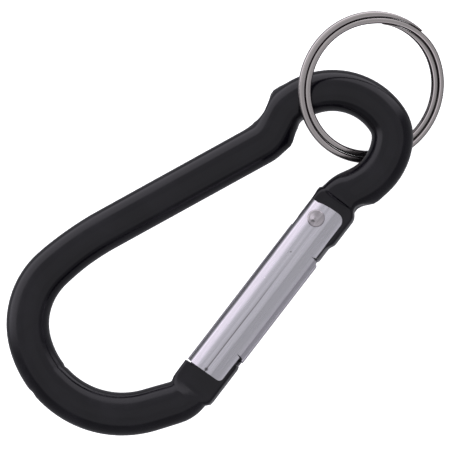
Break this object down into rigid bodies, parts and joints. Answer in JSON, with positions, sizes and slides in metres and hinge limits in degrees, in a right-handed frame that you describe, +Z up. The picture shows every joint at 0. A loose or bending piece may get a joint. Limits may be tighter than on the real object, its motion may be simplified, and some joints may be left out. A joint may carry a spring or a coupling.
{
  "type": "carabiner keyring",
  "caption": "Pear-shaped bent-bar keyring carabiner with a sprung folded-sheet gate and a split ring through its eye.",
  "frame": {"origin": "seat of the basket bend: the point on the inside of the big bend, on the bar's middle plane, where a load hangs", "axes": "+X from the basket seat to the eye, +Y to the spine and away from the gate, +Z up, square to the carabiner's flat side"},
  "size_m": [0.0898, 0.039, 0.014],
  "materials": {
    "black_lacquer": "gloss black lacquer",
    "gate_metal": "polished",
    "rivet_metal": "satin",
    "plunger_steel": "satin",
    "spring_steel": "drawn wire",
    "ring_nickel": "nickel plated"
  },
  "bodies": {
    "bar": {"body_bar": "black_lacquer"},
    "gate": {"gate_shell": "gate_metal", "hinge_rivet": "rivet_metal", "gate_spring": "spring_steel"},
    "plunger": {"spring_plunger": "plunger_steel"},
    "ring": {"split_ring": "ring_nickel"}
  },
  "joints": [
    {"name": "gate_hinge", "type": "hinge", "parent": "bar", "child": "gate", "pos_m": [0.04866, -0.00927, 0], "axis": [0, 0, -1], "range_deg": [0, 32], "stiffness_Nm_per_rad": 0.003, "springref_deg": -160.43},
    {"name": "plunger_slide", "type": "slide", "parent": "gate", "child": "plunger", "axis": [-0.9781, -0.2079, 0], "range_m": [0, 0.0008], "deforming": ["gate_spring"]},
    {"name": "ring_swing", "type": "hinge", "parent": "bar", "child": "ring", "pos_m": [0.06996, 0.00198, 0], "axis": [0.9613, 0.2756, 0], "range_deg": [0, 118]}
  ],
  "couplings": [
    {"joint": "plunger_slide", "follows": "gate_hinge", "m_per_rad": 0.0014}
  ]
}
